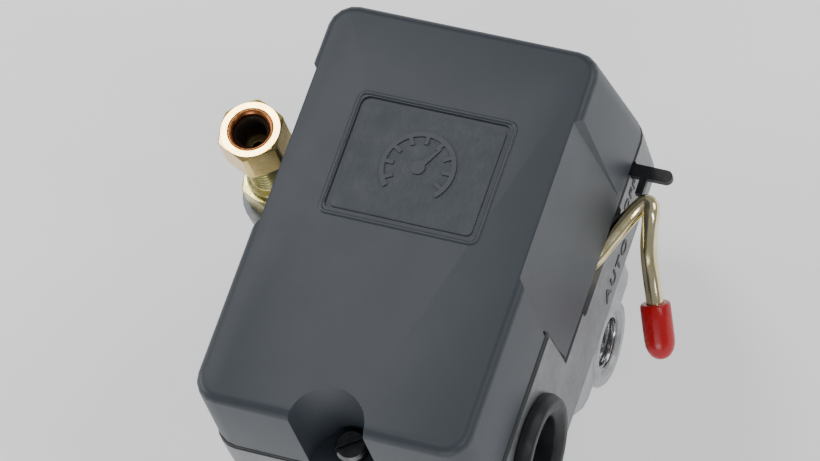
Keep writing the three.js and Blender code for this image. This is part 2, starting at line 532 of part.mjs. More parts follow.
// the wire's middle line, from the eye out through the notch, round the knee to the tip
const LEVER_PATH = new THREE.CatmullRomCurve3([
  [LEVER_X + 2.6, LEVER_Y + 2.9, WIRE_Z], [LEVER_X + 6, LEVER_Y + 6, WIRE_Z], [28.3, 18.3, WIRE_Z],
  [30.5, 24, WIRE_Z], [32.7, 29.6, WIRE_Z], [34, 32, WIRE_Z + 0.1], [34.9, 33.1, WIRE_Z + 0.2],
  [36, 32.8, WIRE_Z + 0.2], [36.6, 31.5, WIRE_Z + 0.1], [36.9, 29.5, WIRE_Z - 0.7], [37.4, 25.3, 37.4],
  [38.4, 21.6, 33.9], TIP_START.toArray(), TIP_START.clone().lerp(TIP_END, 0.7).toArray(),
].map((p) => new THREE.Vector3(...p)), false, 'centripetal');
const leverWire = (r) => sweep(LEVER_PATH, r, 44, 10);

function lever() {
  const eyeR = WIRE_R + 2.25;
  const eye = turned(Array.from({ length: 8 }, (_, i) => {
    const a = i / 8 * Math.PI * 2;
    return [eyeR + WIRE_R * Math.cos(a), WIRE_Z + WIRE_R * Math.sin(a)];
  }), 20).translate([LEVER_X, LEVER_Y, 0]);
  return eye.add(leverWire(WIRE_R));
}

function tip() {
  const d = TIP_END.clone().sub(TIP_START), length = d.length(), r = 3.2;
  const g = new THREE.LatheGeometry([[0, 0], [r - 0.5, 0], [r, 0.6], [r, length - 3],
    [r - 0.35, length - 1.5],
    [r - 1.3, length - 0.4], [r - 2.6, length], [0, length], [0, 0]]
    .map(([a, b]) => new THREE.Vector2(a, b)), 20);
  const q = new THREE.Quaternion().setFromUnitVectors(new THREE.Vector3(0, 1, 0), d.clone().normalize());
  g.applyQuaternion(q).translate(...TIP_START.toArray());
  return solid(g).subtract(leverWire(WIRE_R + 0.08));
}

piece('on_off_lever', lever(), GOLD_STEEL);
piece('lever_tip', tip(), RED_VINYL);

// ---------- unloader valve ----------
const atValve = (s) => s.translate([VALVE_X, VALVE_Y, 0]);
const NUT_TURN = 37;
piece('valve_body', atValve(hexBar(13, LUG_Z1 + 0.05, 46, NUT_TURN)
  .add(turned([[0, 31.9], [4.4, 31.9], [4.8, 32.3], [4.8, 39], [0, 39]], 20))
  .add(turned([[0, 45], [5.6, 45], [5.6, 47], [4.7, 48], [4.7, 62.6], [4.2, 63.2], [0, 63.2]], 20))
  .subtract(disc(1.7, 30, 66, 12)).subtract(disc(3, 43.6, 70, 16))), BRASS);
piece('valve_lock_nut', atValve(hexBar(13, 32.1, LUG_Z0 - 0.05, NUT_TURN + 14)
  .subtract(disc(4.9, 30, 40, 24))), BRASS);
piece('tube_nut', atValve(hexBar(12.8, 59.2, 67.7, NUT_TURN)
  .subtract(disc(4.8, 58, 65.2, 28)).subtract(disc(4.2, 58, 70, 28))
  .subtract(turned([[0, 66.9], [4.2, 66.9], [4.9, 67.75], [4.9, 69], [0, 69]], 28))), BRASS);
piece('ferrule', atValve(turned([[3.3, 62.3], [3.7, 62.3], [4.1, 63.4], [4.1, 66.9], [3.8, 67.3], [3.3, 67.3]], 28)
  .subtract(disc(4.9, 60, 63.25, 28).subtract(disc(2.95, 60, 64, 28)))), COPPER);
piece('valve_pin', atValve(turned([[0, 30.7], [1.2, 30.7], [1.4, 31], [1.4, 43.7], [2.6, 43.7], [2.6, 44.9],
  [0.9, 45.6], [0, 45.6]], 20)), STEEL);
piece('valve_spring', coil(VALVE_X, VALVE_Y, 2.1, 0.4, 46, 57, 6), STEEL);
piece('valve_seat', atValve(turned([[1.2, 57.2], [2.9, 57.2], [2.9, 60], [1.2, 60]], 20)), BRASS);

// ---------- cable grommets ----------
function grommet() {
  const inside = HOUSING_W / 2 - HOUSING_WALL, outside = HOUSING_W / 2, b = GROMMET_BORE;
  return turned([[b, inside - 2], [b + 1, inside - 2.6], [11.6, inside - 2.6], [12, inside - 0.1],
    [10, inside - 0.1], [10, outside + 0.1], [12.6, outside + 0.1], [12.6, outside + 1.6],
    [11.8, outside + 3.3], [b + 0.7, outside + 3.3], [b, outside + 2.7]], 24);
}

for (const [name, i] of [['cable_grommet_right', 1], ['cable_grommet_left', -1]]) {
  const g = alongX(grommet());
  piece(name, (i > 0 ? g : g.mirror([1, 0, 0])).translate([0, GROMMET_Y, GROMMET_Z]), BLACK_RUBBER);
}

export default group;
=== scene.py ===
import json
import math

import bmesh
import bpy
from mathutils import Matrix, Vector


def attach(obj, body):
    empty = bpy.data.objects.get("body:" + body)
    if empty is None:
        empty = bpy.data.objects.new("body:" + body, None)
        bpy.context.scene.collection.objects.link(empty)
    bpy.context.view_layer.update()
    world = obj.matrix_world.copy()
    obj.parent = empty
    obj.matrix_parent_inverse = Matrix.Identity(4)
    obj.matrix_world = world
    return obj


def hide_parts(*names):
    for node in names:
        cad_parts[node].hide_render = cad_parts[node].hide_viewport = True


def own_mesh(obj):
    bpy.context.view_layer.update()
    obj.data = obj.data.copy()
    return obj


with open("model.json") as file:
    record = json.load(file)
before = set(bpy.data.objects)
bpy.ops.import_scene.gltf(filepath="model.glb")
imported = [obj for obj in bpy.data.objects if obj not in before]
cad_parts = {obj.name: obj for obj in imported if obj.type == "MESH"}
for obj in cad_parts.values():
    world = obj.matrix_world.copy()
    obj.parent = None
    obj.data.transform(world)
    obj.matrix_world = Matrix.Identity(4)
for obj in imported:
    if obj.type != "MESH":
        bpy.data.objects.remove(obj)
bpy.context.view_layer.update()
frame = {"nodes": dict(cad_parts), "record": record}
MM = 0.001
PORT_Y = 11.0                       # cover's middle lies this far in front of the tank port


# ---------- materials ----------
def node(tree, kind, **values):
    n = tree.nodes.new(kind)
    for key, value in values.items():
        if key in n.inputs:
            n.inputs[key].default_value = value
        else:
            setattr(n, key, value)
    return n


def noise(tree, scale, detail=4.0, rough=0.55, stretch=None):
    coords = node(tree, "ShaderNodeTexCoord")
    source = coords.outputs["Object"]
    if stretch:
        mapping = node(tree, "ShaderNodeMapping")
        mapping.inputs["Scale"].default_value = stretch
        tree.links.new(source, mapping.inputs["Vector"])
        source = mapping.outputs["Vector"]
    n = node(tree, "ShaderNodeTexNoise", Scale=scale, Detail=detail, Roughness=rough)
    tree.links.new(source, n.inputs["Vector"])
    return n.outputs["Fac"]


def spread(tree, fac, low, high, inner=(0.3, 0.7)):
    r = node(tree, "ShaderNodeMapRange")
    r.inputs["From Min"].default_value, r.inputs["From Max"].default_value = inner
    r.inputs["To Min"].default_value, r.inputs["To Max"].default_value = low, high
    tree.links.new(fac, r.inputs["Value"])
    return r.outputs["Result"]


FACTOR, TONE_A, TONE_B, TONE_OUT = 0, 6, 7, 2      # a colour mix's sockets
COAT_ROUGHNESS = 0.12
SPECK_FROM_TO = (0.56, 0.74)


def material(name, dark, light, rough, metallic=0.0, grain=(2500.0, 0.02), patch=120.0,
             stretch=None, second=None, coat=0.0, specular=0.5, speck=None):
    """Two tones mixed by slow patches, roughness that varies, and a fine grain as bump."""
    m = bpy.data.materials.new(name)
    m.use_nodes = True
    t = m.node_tree
    s = t.nodes["Principled BSDF"]
    s.inputs["Metallic"].default_value = metallic
    s.inputs["Specular IOR Level"].default_value = specular
    if coat:
        s.inputs["Coat Weight"].default_value = coat
        s.inputs["Coat Roughness"].default_value = COAT_ROUGHNESS
    slow = noise(t, patch, 5.0, 0.6)
    mix = node(t, "ShaderNodeMix", data_type="RGBA")
    mix.inputs[TONE_A].default_value = (*dark, 1)
    mix.inputs[TONE_B].default_value = (*light, 1)
    t.links.new(spread(t, slow, 0.0, 1.0), mix.inputs[FACTOR])
    color = mix.outputs[TONE_OUT]
    fine = noise(t, grain[0], 3.0, 0.6, stretch)
    if speck:
        dots = node(t, "ShaderNodeMix", data_type="RGBA")
        dots.inputs[TONE_B].default_value = (*speck, 1)
        t.links.new(spread(t, fine, 0.0, 0.5, SPECK_FROM_TO), dots.inputs[FACTOR])
        t.links.new(color, dots.inputs[TONE_A])
        color = dots.outputs[TONE_OUT]
    t.links.new(color, s.inputs["Base Color"])
    blotch = noise(t, patch * 3.3, 4.0, 0.6)
    t.links.new(spread(t, blotch, rough[0], rough[1]), s.inputs["Roughness"])
    bump = node(t, "ShaderNodeBump", Strength=0.5)
    bump.inputs["Distance"].default_value = grain[1] * MM
    height = fine
    if second:
        wave = noise(t, second[0], 2.0, 0.5)
        both = node(t, "ShaderNodeMath", operation="MULTIPLY_ADD")
        both.inputs[1].default_value = second[1]
        t.links.new(wave, both.inputs[0])
        t.links.new(fine, both.inputs[2])
        height = both.outputs[0]
    t.links.new(height, bump.inputs["Height"])
    t.links.new(bump.outputs["Normal"], s.inputs["Normal"])
    return m


PLASTIC = material("black_plastic_grain", (0.033, 0.040, 0.050), (0.037, 0.045, 0.056), (0.43, 0.455),
                   grain=(2600.0, 0.035), patch=38.0, second=(260.0, 0.5), specular=0.42)
FIELD = material("field_grain", (0.031, 0.038, 0.048), (0.040, 0.048, 0.059), (0.44, 0.52),
                 grain=(950.0, 0.16), patch=70.0, specular=0.42)
CAST = material("die_cast_grey", (0.17, 0.177, 0.188), (0.235, 0.242, 0.255), (0.40, 0.52), metallic=0.6,
                grain=(1900.0, 0.05), patch=140.0, second=(420.0, 0.9), speck=(0.12, 0.125, 0.13))
CAST_LIGHT = material("die_cast_light", (0.36, 0.37, 0.38), (0.48, 0.49, 0.50), (0.36, 0.50),
                      metallic=0.75, grain=(1900.0, 0.045), patch=150.0, second=(380.0, 0.9),
                      speck=(0.30, 0.305, 0.31))
THREAD = material("cut_thread", (0.34, 0.35, 0.36), (0.52, 0.53, 0.54), (0.20, 0.34), metallic=1.0,
                  grain=(3000.0, 0.012), patch=260.0)
RUBBER = material("black_rubber", (0.009, 0.011, 0.012), (0.017, 0.020, 0.022), (0.38, 0.50),
                  grain=(2200.0, 0.04), patch=170.0, second=(500.0, 0.6), specular=0.32)
STEEL = material("zinc_plated_steel", (0.52, 0.53, 0.54), (0.70, 0.71, 0.72), (0.22, 0.36), metallic=1.0,
                 grain=(2600.0, 0.012), patch=320.0)
SPRING = material("spring_steel", (0.34, 0.34, 0.35), (0.52, 0.52, 0.53), (0.24, 0.38), metallic=1.0,
                  grain=(2600.0, 0.015), patch=350.0)
BLACK_STEEL = material("black_steel", (0.008, 0.008, 0.009), (0.018, 0.018, 0.020), (0.34, 0.48),
                       grain=(2200.0, 0.03), patch=260.0, speck=(0.05, 0.05, 0.052), specular=0.35)
GOLD = material("yellow_zinc", (0.66, 0.55, 0.27), (0.90, 0.82, 0.55), (0.09, 0.18), metallic=1.0,
                grain=(2400.0, 0.012), patch=190.0, second=(700.0, 0.6))
BRASS = material("turned_brass", (0.80, 0.55, 0.17), (0.95, 0.77, 0.34), (0.11, 0.20), metallic=1.0,
                 grain=(2600.0, 0.010), patch=240.0, stretch=(1.0, 1.0, 5.0))
NECK = material("dull_brass", (0.40, 0.36, 0.12), (0.66, 0.60, 0.26), (0.20, 0.34), metallic=1.0,
                grain=(2600.0, 0.012), patch=260.0)
COPPER = material("copper_ring", (0.30, 0.105, 0.035), (0.46, 0.185, 0.07), (0.22, 0.36), metallic=1.0,
                  grain=(2600.0, 0.012), patch=300.0)
VINYL = material("red_vinyl", (0.38, 0.003, 0.006), (0.47, 0.006, 0.011), (0.24, 0.34),
                 grain=(1400.0, 0.02), patch=150.0, second=(330.0, 1.4), coat=0.12, specular=0.35)
PHENOLIC = material("phenolic", (0.030, 0.022, 0.017), (0.048, 0.035, 0.026), (0.38, 0.52),
                    grain=(2200.0, 0.03), patch=160.0, speck=(0.075, 0.055, 0.04))
# Painted shade: a near-black metal for the inside of the valve's bore, which the lamps would otherwise
# light
BORE_SHADE = material("painted_shade_bore", (0.020, 0.014, 0.010), (0.050, 0.034, 0.022), (0.45, 0.60),
                metallic=0.4, grain=(2200.0, 0.03), patch=260.0)
# Painted shade: zinc darkened for the cover screw, which sits deep in the shaded screw well
WELL_SHADE_ZINC = material("zinc_painted_shade", (0.10, 0.10, 0.105), (0.19, 0.19, 0.195), (0.26, 0.40), metallic=1.0,
                     grain=(2400.0, 0.015), patch=300.0)

LOOK = {
    "black_plastic": PLASTIC, "cast_grey": CAST, "cast_light": CAST_LIGHT, "black_rubber": RUBBER,
    "steel": STEEL, "black_steel": BLACK_STEEL, "gold_steel": GOLD, "brass": BRASS, "copper": COPPER,
    "red_vinyl": VINYL, "phenolic": PHENOLIC,
}

# ---------- CAD nodes that stay: welded, edges eased, new finish ----------
slots = {p["node"]: p["material_slot"] for p in frame["record"]["subparts"]}
EASE = {"cover": 0.30, "base_housing": 0.22, "port_manifold": 0.25, "lever_bracket": 0.15}
EASE_ELSE = 0.10
OWN_LOOK = {
    "range_spring": SPRING, "differential_spring": SPRING, "toggle_spring": SPRING,
    "valve_spring": SPRING, "valve_body": NECK, "cover_screw": WELL_SHADE_ZINC,
}
WELD_M = 2e-6
FLAT_DEG = 0.6                      # facets nearer than this to one plane are merged
ROUND_FROM, ROUND_TO = 6, 31        # degrees between facets that belong to one round surface


def smoothing():
    """Node group that smooths round stretches; flats, shallow creases and corners stay crisp."""
    tree = bpy.data.node_groups.new("smooth_round", "GeometryNodeTree")
    tree.interface.new_socket("Geometry", in_out="INPUT", socket_type="NodeSocketGeometry")
    tree.interface.new_socket("Geometry", in_out="OUTPUT", socket_type="NodeSocketGeometry")
    start, end = tree.nodes.new("NodeGroupInput"), tree.nodes.new("NodeGroupOutput")
    faces = tree.nodes.new("GeometryNodeSetShadeSmooth")
    edges = tree.nodes.new("GeometryNodeSetShadeSmooth")
    edges.domain = "EDGE"
    edges.inputs["Shade Smooth"].default_value = False
    angle = tree.nodes.new("GeometryNodeInputMeshEdgeAngle")
    middle = tree.nodes.new("FunctionNodeCompare")
    middle.operation = "NOT_EQUAL"
    middle.inputs["B"].default_value = math.radians(ROUND_FROM + ROUND_TO) / 2
    middle.inputs["Epsilon"].default_value = math.radians(ROUND_TO - ROUND_FROM) / 2
    tree.links.new(angle.outputs["Unsigned Angle"], middle.inputs["A"])
    tree.links.new(middle.outputs["Result"], edges.inputs["Selection"])
    tree.links.new(start.outputs[0], faces.inputs["Geometry"])
    tree.links.new(faces.outputs[0], edges.inputs["Geometry"])
    tree.links.new(edges.outputs[0], end.inputs[0])
    return tree


smooth_round = smoothing()


def ease(obj, width):
    weld = obj.modifiers.new("weld", "WELD")
    weld.merge_threshold = WELD_M
    obj.modifiers.new("smooth", "NODES").node_group = smooth_round
    flat = obj.modifiers.new("flat", "DECIMATE")
    flat.decimate_type = "DISSOLVE"
    flat.angle_limit = math.radians(FLAT_DEG)
    bevel = obj.modifiers.new("edge", "BEVEL")
    bevel.width = width * MM
    bevel.segments = 2
    bevel.limit_method = "ANGLE"
    bevel.angle_limit = math.radians(ROUND_TO)
    bevel.miter_outer = "MITER_ARC"
    bevel.use_clamp_overlap = True
    bevel.harden_normals = True


def paint(obj, finish):
    if not obj.data.materials:
        obj.data.materials.append(finish)
    for s in obj.material_slots:
        s.link = "OBJECT"
        s.material = finish


for name, obj in frame["nodes"].items():
    paint(obj, OWN_LOOK.get(name, LOOK[slots[name]]))
    ease(obj, EASE.get(name, EASE_ELSE))


# ---------- mesh helpers (millimetres in, metres out) ----------
def add(name, verts, faces, finish, body, slot, move, replaces=None, crease=34):
    """New piece from a mesh; edges that turn by more than crease degrees stay sharp."""
    mesh = bpy.data.meshes.new(name)
    mesh.from_pydata([(move @ Vector(v)) * MM for v in verts], [], faces)
    bm = bmesh.new()
    bm.from_mesh(mesh)
    bmesh.ops.remove_doubles(bm, verts=bm.verts, dist=1e-7)
    bmesh.ops.recalc_face_normals(bm, faces=bm.faces)
    for f in bm.faces:
        f.smooth = True
    sharp = math.radians(crease)
    for e in bm.edges:
        if len(e.link_faces) == 2 and e.calc_face_angle(0.0) > sharp:
            e.smooth = False
    bm.to_mesh(mesh)
    bm.free()
    mesh.materials.append(finish)
    obj = bpy.data.objects.new(name, mesh)
    bpy.context.scene.collection.objects.link(obj)
    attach(obj, body)
    if replaces:
        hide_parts(*replaces)
    return obj


def around(rows, count, closed=True):
    """Faces of a grid whose rows are rings of count points; closed joins the last row to the first."""
    faces = []
    for i in range(rows if closed else rows - 1):
        a, b = i * count, (i + 1) % rows * count
        for j in range(count):
            k = (j + 1) % count
            faces.append((a + j, a + k, b + k, b + j))
    return faces


def turned(profile, count=96):
    """Closed profile of points (r, z), or of functions of the angle that give one."""
    verts = []
    for p in profile:
        for j in range(count):
            t = 2 * math.pi * j / count
            r, z = p(t) if callable(p) else p
            verts.append((r * math.cos(t), r * math.sin(t), z))
    return verts, around(len(profile), count)


def eased(points, radius, steps=3):
    """Closed profile with each corner turned into a small arc."""
    out = []
    n = len(points)
    for i, p in enumerate(points):
        a, b, c = Vector(points[i - 1]), Vector(p), Vector(points[(i + 1) % n])
        u, v = (a - b), (c - b)
        d = min(radius, u.length * 0.45, v.length * 0.45)
        p0, p1 = b + u.normalized() * d, b + v.normalized() * d
        for k in range(steps + 1):
            s = k / steps
            q = p0 * (1 - s) ** 2 + b * 2 * s * (1 - s) + p1 * s ** 2
            out.append((q.x, q.y))
    return out


CORNER_EASE = 0.18                  # how far a nut's corners are cut back
CHAMFER = math.radians(30)
CHAMFER_ROWS = 7


def hex_radius(flats, turn):
    def r(t):
        a = (t - turn) % (math.pi / 3) - math.pi / 6
        return min(flats / 2 / math.cos(a), flats / math.sqrt(3) - CORNER_EASE)
    return r


def hex_nut(flats, z0, z1, turn, bore):
    """Closed profile of a nut with chamfered rims; bore is its inner (r, z) points, top down."""
    r = hex_radius(flats, turn)
    face = flats / 2 - 0.12
    drop = (flats / math.sqrt(3) - face) * math.tan(CHAMFER)
    rows = []
    for i in range(CHAMFER_ROWS + 1):
        d = drop * i / CHAMFER_ROWS
        cap = face + d / math.tan(CHAMFER)
        rows.append(lambda t, c=cap, z=z0 + d: (min(r(t), c), z))
    for i in range(CHAMFER_ROWS, -1, -1):
        d = drop * i / CHAMFER_ROWS
        cap = face + d / math.tan(CHAMFER)
        rows.append(lambda t, c=cap, z=z1 - d: (min(r(t), c), z))
    return rows + list(bore)


ROWS_PER_PITCH = 10


def screw_rows(z0, z1, pitch, outer, depth, fade=0.8, inward=False):
    """Rows of a single start thread from z0 to z1, at outer(z) less a ridge of that depth."""
    rows = []
    count = max(2, round(abs(z1 - z0) / pitch * ROWS_PER_PITCH))
    for i in range(count + 1):
        z = z0 + (z1 - z0) * i / count

        def point(t, z=z):
            phase = (z / pitch - t / (2 * math.pi)) % 1.0
            ridge = abs(phase * 2 - 1)
            ridge = min(max((ridge - 0.12) / 0.76, 0), 1)
            ends = min(1, abs(z - z0) / fade, abs(z1 - z) / fade)
            cut = depth * (1 - ridge) * ends
            return (outer(z) + cut if inward else outer(z) - cut, z)
        rows.append(point)
    return rows


def swept(points, radius, sides):
    """Round bar along points (a list of Vector), with frames carried along without twist."""
    verts, faces = [], []
    tangent = [(points[min(i + 1, len(points) - 1)] - points[max(i - 1, 0)]).normalized()
               for i in range(len(points))]
    side = tangent[0].orthogonal().normalized()
    for i, p in enumerate(points):
        side = (side - tangent[i] * side.dot(tangent[i])).normalized()
        up = tangent[i].cross(side)
        for j in range(sides):
            t = 2 * math.pi * j / sides
            verts.append(p + (side * math.cos(t) + up * math.sin(t)) * radius)
    faces = around(len(points), sides, closed=False)
    faces.append(tuple(range(sides - 1, -1, -1)))
    faces.append(tuple(range(len(verts) - sides, len(verts))))
    return verts, faces


PATH_STEPS = 12


def smooth_path(control):
    """Centripetal Catmull-Rom curve through the control points."""
    pts = [Vector(c) for c in control]
    pts = [pts[0] * 2 - pts[1]] + pts + [pts[-1] * 2 - pts[-2]]
    out = []
    for i in range(1, len(pts) - 2):
        p = pts[i - 1:i + 3]
        k = [0.0]
        for a, b in zip(p, p[1:]):
            k.append(k[-1] + max((b - a).length, 1e-6) ** 0.5)
        for s in range(PATH_STEPS):
            t = k[1] + (k[2] - k[1]) * s / PATH_STEPS
            a1 = p[0] * (k[1] - t) / (k[1] - k[0]) + p[1] * (t - k[0]) / (k[1] - k[0])
            a2 = p[1] * (k[2] - t) / (k[2] - k[1]) + p[2] * (t - k[1]) / (k[2] - k[1])
            a3 = p[2] * (k[3] - t) / (k[3] - k[2]) + p[3] * (t - k[2]) / (k[3] - k[2])
            b1 = a1 * (k[2] - t) / (k[2] - k[0]) + a2 * (t - k[0]) / (k[2] - k[0])
            b2 = a2 * (k[3] - t) / (k[3] - k[1]) + a3 * (t - k[1]) / (k[3] - k[1])
            out.append(b1 * (k[2] - t) / (k[2] - k[1]) + b2 * (t - k[1]) / (k[2] - k[1]))
    out.append(pts[-2])
    return out


def at(x, y, z=0.0):
    """Moves a shape to x, y from the cover's middle and z above the tank port's face."""
    return Matrix.Translation((x, y - PORT_Y, z))


def facing(axis):
    """Turns +Z to the named axis."""
    return {"+x": Matrix.Rotation(math.pi / 2, 4, "Y"), "-x": Matrix.Rotation(-math.pi / 2, 4, "Y"),
            "-y": Matrix.Rotation(math.pi / 2, 4, "X"), "-z": Matrix.Rotation(math.pi, 4, "X")}[axis]


# ---------- unloader valve ----------
VALVE = at(-42.1, 19.1)
TURN = math.radians(37)
NUT_FLATS, BODY_FLATS = 12.8, 13
BRASS_CREASE = 22
nut_bore = [(4.95, 67.7), (4.85, 67.62), (4.25, 66.95), (4.2, 66.8), (4.2, 65.2), (4.8, 65.1),
            (4.8, 59.6), (5.2, 59.2)]
add("tube_nut_turned", *turned(hex_nut(NUT_FLATS, 59.2, 67.7, TURN, nut_bore)), BRASS, "tube_nut",
    "brass", VALVE, ["tube_nut"], crease=BRASS_CREASE)
ferrule = eased([(3.3, 63.3), (4.05, 63.3), (4.12, 66.85), (4.74, 67.52), (4.62, 67.66), (4.3, 67.6),
                 (3.85, 67.1), (3.68, 66.4), (3.3, 65.8)], 0.12)
add("ferrule_turned", *turned(ferrule), COPPER, "base", "copper", VALVE, ["ferrule"])
neck = [(1.75, 32.0), (4.4, 31.95)] + screw_rows(32.3, 38.0, 1.0, lambda z: 4.82, 0.42)
neck += hex_nut(BODY_FLATS, 38.25, 46, TURN, [])
neck += [(5.6, 46), (5.6, 47.1), (5.3, 47.5), (4.3, 47.7), (4.3, 48.4)]
neck += screw_rows(48.6, 62.6, 1.15, lambda z: 4.72, 0.5)
neck += [(4.2, 63.15), (3.05, 63.2), (2.98, 63.0), (2.98, 43.7), (1.75, 43.65)]
add("valve_body_turned", *turned(neck), NECK, "base", "brass", VALVE, ["valve_body"],
    crease=BRASS_CREASE)
# Dark sleeve inside the valve's bore: painted shade of the hole
bore_shade_lining = [(2.97, 43.8), (2.97, 63.0), (3.28, 63.35), (3.28, 65.8), (3.66, 66.45), (3.56, 66.5),
          (3.12, 65.8), (3.05, 63.5), (2.7, 62.9), (2.7, 44.1), (0.02, 44.1), (0.02, 43.8)]
add("valve_bore_shade", *turned(bore_shade_lining), BORE_SHADE, "base", "brass", VALVE)
lock_bore = [(5.2, 34.9), (4.92, 34.6), (4.92, 32.4), (5.2, 32.1)]
lock_nut = hex_nut(BODY_FLATS, 32.1, 34.9, TURN + math.radians(14), lock_bore)
add("valve_lock_nut_turned", *turned(lock_nut), BRASS, "base", "brass", VALVE, ["valve_lock_nut"],
    crease=BRASS_CREASE)

# ---------- springs ----------
CLOSED = 0.8                        # turns at each end that lie nearly flat
CLOSED_RISE = 0.04                  # share of the height gained evenly along the wire
TURN_STEPS = 28

# Each is pressed as the rocker tips: towards its own top, but the toggle spring from both ends
for name, x, y, radius, wire, z0, z1, turns, still, pressed in (
        ("range_spring", 0, -2.5, 5.4, 1.1, 33.5, 61.2, 6.5, 61.2, 0.93),
        ("differential_spring", 0, 27, 4.2, 0.8, 33.5, 48.4, 6, 48.4, 0.955),
        ("toggle_spring", 0, -12.4, 2.4, 0.5, 33.5, 42.8, 4.5, 40, 0.63),
        ("valve_spring", -42.1, 19.1, 2.1, 0.4, 46, 57, 6, 57, 0.91)):
    line = []
    steps = round(turns * TURN_STEPS)
    for i in range(steps + 1):
        n = turns * i / steps
        rise = min(max((n - CLOSED) / (turns - 2 * CLOSED), 0), 1)
        a = n * 2 * math.pi
        low, high = z0 + wire, z1 - wire
        share = CLOSED_RISE * n / turns + (1 - CLOSED_RISE) * rise
        line.append(Vector((radius * math.cos(a), radius * math.sin(a), low + (high - low) * share)))
    piece = add(name + "_wire", *swept(line, wire, 12), SPRING, "base", "steel", at(x, y), [name])
    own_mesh(piece)

# ---------- auto / off lever ----------
LX, LY, WZ = 20.0, 8.0, 41.1
WIRE_R, EYE_HOLE_R = 1.8, 2.25
TIP_R = 3.2
START, END = Vector((40.4, 16.4, 30.2)), Vector((43.4, 7.8, 22.4))
line = smooth_path([
    (LX + 2.6, LY + 2.9, WZ), (LX + 6, LY + 6, WZ), (28.3, 18.3, WZ), (30.5, 24, WZ), (32.7, 29.6, WZ),
    (34, 32, WZ + 0.1), (34.9, 33.1, WZ + 0.2), (36, 32.8, WZ + 0.2), (36.6, 31.5, WZ + 0.1),
    (36.9, 29.5, WZ - 0.7), (37.4, 25.3, 37.4), (38.4, 21.6, 33.9), START, START.lerp(END, 0.7)])
add("lever_wire", *swept(line, WIRE_R, 28), GOLD, "lever", "gold_steel", at(0, 0), ["on_off_lever"])
loop = [(WIRE_R + EYE_HOLE_R + WIRE_R * math.cos(a), WZ + WIRE_R * math.sin(a))
        for a in (2 * math.pi * i / 20 for i in range(20))]
add("lever_eye", *turned(loop, 64), GOLD, "lever", "gold_steel", at(LX, LY))
length = (END - START).length
profile = [(1.88, 0.05), (2.7, -0.05), (3.0, 0.1), (TIP_R, 0.5), (TIP_R + 0.02, 3.0),
           (TIP_R, length - 4.2), (TIP_R - 0.12, length - 3.0), (TIP_R - 0.45, length - 1.9),
           (TIP_R - 1.05, length - 0.9), (TIP_R - 1.9, length - 0.25), (0.6, length - 0.02),
           (0.02, length)]
inner = [(0.02, length * 0.72), (1.85, length * 0.72)]
turn = (END - START).to_track_quat("Z", "Y").to_matrix().to_4x4()
add("lever_tip_dipped", *turned(profile + inner, 64), VINYL, "lever", "red_vinyl",
    at(START.x, START.y, START.z) @ turn, ["lever_tip"])

# ---------- cable grommets ----------
HOLE_R = 8.1
ENTRY_Y, ENTRY_Z = -26.5, 43.5
for name, axis in (("cable_grommet_right", "+x"), ("cable_grommet_left", "-x")):
    p = eased([(HOLE_R, 24.2), (HOLE_R + 1, 23.6), (11.6, 23.6), (12, 26.1), (10, 26.1), (10, 30.1),
               (12.6, 30.1), (12.6, 31.6), (11.8, 33.3), (HOLE_R + 1.9, 33.3), (HOLE_R + 0.9, 32.7),
               (HOLE_R, 32.0)], 0.45)
    add(name + "_moulded", *turned(p, 112), RUBBER, "base", "black_rubber",
        at(0, ENTRY_Y, ENTRY_Z) @ facing(axis), [name])

# ---------- dark cord in the gap under the cover's rim: painted shade of the gap ---
FRONT_Z, BACK_Z = 59.15, 42.35
SHADE_CORD_X, SHADE_CORD_BEND_R = 29.0, 4.5
SHADE_CORD_Y0, SHADE_CORD_Y1 = -44.6, 50.5
CORD_R = 0.78
DROP_Y = -6.9                       # where the rim steps down from FRONT_Z to BACK_Z
WELL_X = 11.2                       # the cord stops at this x on each side of the screw well


def side_run(x, y0, y1):
    """Points of the cord along one side wall, down or up the rim's step when it is passed."""
    step = [(x, -8.3, FRONT_Z), (x, -7.2, FRONT_Z - 0.3), (x, -6.7, FRONT_Z - 1.4),
            (x, -5.3, BACK_Z + 1.6), (x, -4.9, BACK_Z + 0.4), (x, -3.9, BACK_Z)]
    if y0 > y1:
        step.reverse()
    inside = [p for p in step if min(y0, y1) < p[1] < max(y0, y1)]
    ends = [(x, y, FRONT_Z if y < DROP_Y else BACK_Z) for y in (y0, y1)]
    return [ends[0]] + inside + [ends[1]]


def corner(x, y, z, start):
    return [(x + SHADE_CORD_BEND_R * math.cos(start + a), y + SHADE_CORD_BEND_R * math.sin(start + a), z)
            for a in (math.pi / 2 * i / 8 for i in range(1, 8))]


r = SHADE_CORD_BEND_R
runs = (
    [(SHADE_CORD_X, 41.9, BACK_Z)] + corner(SHADE_CORD_X - r, SHADE_CORD_Y1 - r, BACK_Z, 0.0)
    + [(SHADE_CORD_X - r, SHADE_CORD_Y1, BACK_Z), (-SHADE_CORD_X + r, SHADE_CORD_Y1, BACK_Z)]
    + corner(-SHADE_CORD_X + r, SHADE_CORD_Y1 - r, BACK_Z, math.pi / 2)
    + side_run(-SHADE_CORD_X, SHADE_CORD_Y1 - r, SHADE_CORD_Y0 + r) + corner(-SHADE_CORD_X + r, SHADE_CORD_Y0 + r, FRONT_Z, math.pi)
    + [(-SHADE_CORD_X + r, SHADE_CORD_Y0, FRONT_Z), (-WELL_X, SHADE_CORD_Y0, FRONT_Z)],
    [(WELL_X, SHADE_CORD_Y0, FRONT_Z), (SHADE_CORD_X - r, SHADE_CORD_Y0, FRONT_Z)]
    + corner(SHADE_CORD_X - r, SHADE_CORD_Y0 + r, FRONT_Z, -math.pi / 2)
    + side_run(SHADE_CORD_X, SHADE_CORD_Y0 + r, 5.6),
    side_run(SHADE_CORD_X, 31.4, 37.9))
